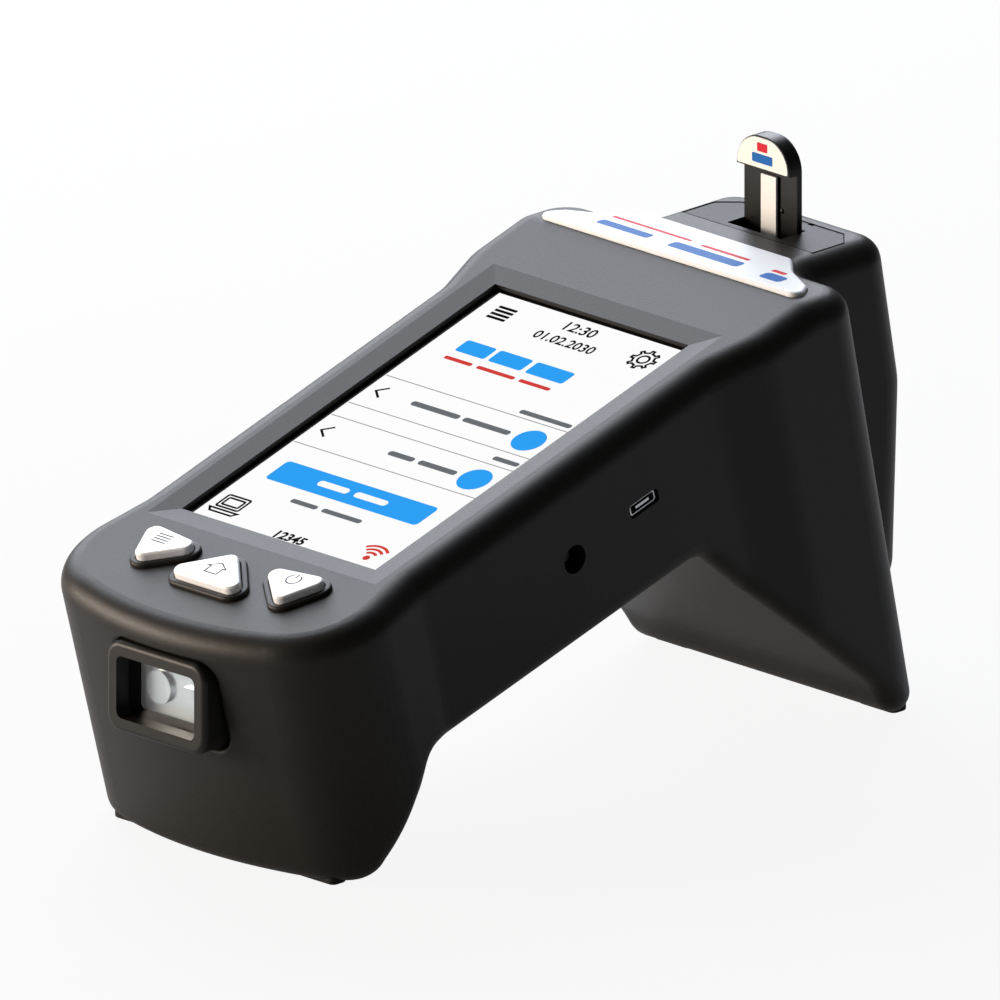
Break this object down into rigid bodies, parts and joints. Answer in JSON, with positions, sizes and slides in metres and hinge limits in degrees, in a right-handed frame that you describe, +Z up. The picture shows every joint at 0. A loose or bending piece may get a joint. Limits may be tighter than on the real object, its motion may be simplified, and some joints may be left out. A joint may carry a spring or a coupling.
{
  "type": "rapid test reader",
  "caption": "Hand-held reader for rapid test strips: tilted screen with keys, scanner nose, finger arch, and a rear tower with a lift-out strip holder.",
  "frame": {"origin": "middle of the footprint, on the surface the reader stands on", "axes": "+Z up, +Y from the scanner nose to the strip tower, +X to the side with the two sockets"},
  "size_m": [0.0886, 0.1996, 0.1192],
  "materials": {
    "shell_plastic": "fine matt charcoal moulded plastic",
    "screen_glass": "cover glass over a lit white screen",
    "gasket_foam": "black foam tape",
    "panel_metal": "display module in a thin metal tray",
    "key_plastic": "gloss white caps with a chrome look at the edge",
    "membrane_rubber": "grey silicone",
    "circuit_board": "green glass-fibre board",
    "chip_plastic": "black moulded packages",
    "steel": "plain steel",
    "jack_plastic": "black socket body",
    "battery_film": "blue shrink film over cells",
    "cradle_plastic": "black moulded frame",
    "bezel_plastic": "satin black frame",
    "window_glass": "clear window",
    "engine_metal": "cast scan module",
    "badge_plastic": "domed white badge, plain",
    "plate_plastic": "satin black insert",
    "holder_plastic": "satin black strip holder",
    "label_paper": "white printed label, plain stripes",
    "strip_paper": "white test strip membrane",
    "guide_plastic": "black guide and light tunnel",
    "led_resin": "amber lamps",
    "lens_metal": "black anodised lens barrel",
    "cable_film": "flat film cable",
    "foot_rubber": "black rubber feet"
  },
  "bodies": {
    "housing": {"housing_top": "shell_plastic", "housing_bottom": "shell_plastic", "display_glass": "screen_glass", "display_gasket": "gasket_foam", "display_panel": "panel_metal", "keypad_membrane": "membrane_rubber", "keypad_board": "circuit_board", "keypad_screws": "steel", "main_board": "circuit_board", "board_chips": "chip_plastic", "usb_socket": "steel", "dc_jack": "jack_plastic", "buzzer": "chip_plastic", "antenna": "cable_film", "battery_pack": "battery_film", "battery_cradle": "cradle_plastic", "housing_screws": "steel", "scanner_bezel": "bezel_plastic", "scanner_window": "window_glass", "scan_engine": "engine_metal", "scan_bracket": "steel", "badge": "badge_plastic", "slot_plate": "plate_plastic", "strip_guide": "guide_plastic", "light_chamber": "guide_plastic", "light_board": "circuit_board", "light_leds": "led_resin", "camera_standoffs": "steel", "camera_board": "circuit_board", "camera_barrel": "lens_metal", "display_ribbon": "cable_film", "scanner_ribbon": "cable_film", "camera_ribbon": "cable_film", "foot_front_left": "foot_rubber", "foot_front_right": "foot_rubber", "foot_rear_left": "foot_rubber", "foot_rear_right": "foot_rubber"},
    "list_key": {"key_list": "key_plastic"},
    "home_key": {"key_home": "key_plastic"},
    "power_key": {"key_power": "key_plastic"},
    "strip_holder": {"strip_holder": "holder_plastic", "holder_label": "label_paper", "test_strip": "strip_paper"}
  },
  "joints": [
    {"name": "list_press", "type": "slide", "parent": "housing", "child": "list_key", "axis": [0, 0.284, -0.9588], "range_m": [0, 0.0008], "stiffness_N_per_m": 900, "springref_m": -0.0004},
    {"name": "home_press", "type": "slide", "parent": "housing", "child": "home_key", "axis": [0, 0.284, -0.9588], "range_m": [0, 0.0008], "stiffness_N_per_m": 900, "springref_m": -0.0004},
    {"name": "power_press", "type": "slide", "parent": "housing", "child": "power_key", "axis": [0, 0.284, -0.9588], "range_m": [0, 0.0008], "stiffness_N_per_m": 900, "springref_m": -0.0004},
    {"name": "holder_lift", "type": "slide", "parent": "housing", "child": "strip_holder", "axis": [0, 0, 1], "range_m": [0, 0.056]}
  ]
}
